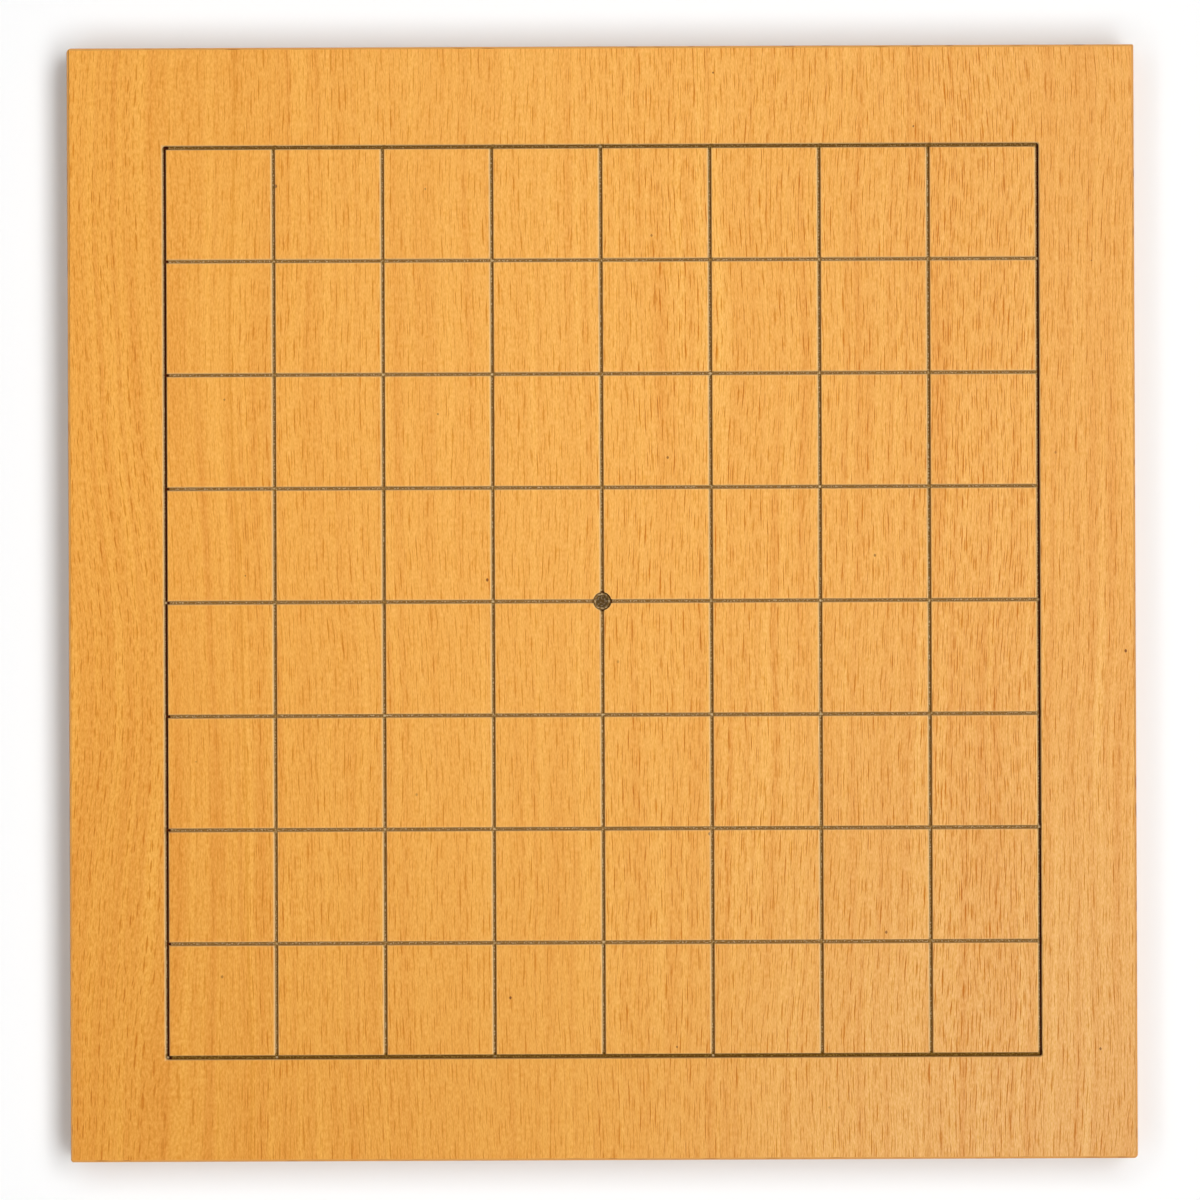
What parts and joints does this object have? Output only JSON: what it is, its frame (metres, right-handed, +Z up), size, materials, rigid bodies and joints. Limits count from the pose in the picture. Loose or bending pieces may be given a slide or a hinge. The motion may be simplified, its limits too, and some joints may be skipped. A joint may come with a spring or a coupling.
{
  "type": "go board",
  "caption": "Small flat go board: beech-veneered fibreboard panel with milled grid lines, a wide margin and a round pocket at the centre point.",
  "frame": {"origin": "middle of the underside, on the surface that the board lies on", "axes": "+Z up out of the playing face, +Y along the grain and the longer side, +X across the grain"},
  "size_m": [0.3002, 0.3134, 0.01],
  "materials": {
    "fibreboard": "milled and lacquered fibreboard",
    "face_veneer": "satin lacquered beech veneer",
    "backing_veneer": "thinly lacquered beech veneer",
    "edge_strip": "satin lacquered beech veneer"
  },
  "bodies": {
    "root": {"fibreboard_core": "fibreboard", "face_veneer_margin": "face_veneer", "face_veneer_row_1": "face_veneer", "face_veneer_row_2": "face_veneer", "face_veneer_row_3": "face_veneer", "face_veneer_row_4": "face_veneer", "face_veneer_row_5": "face_veneer", "face_veneer_row_6": "face_veneer", "face_veneer_row_7": "face_veneer", "face_veneer_row_8": "face_veneer", "backing_veneer": "backing_veneer", "edge_strip_left": "edge_strip", "edge_strip_right": "edge_strip", "edge_strip_near": "edge_strip", "edge_strip_far": "edge_strip"}
  },
  "joints": []
}
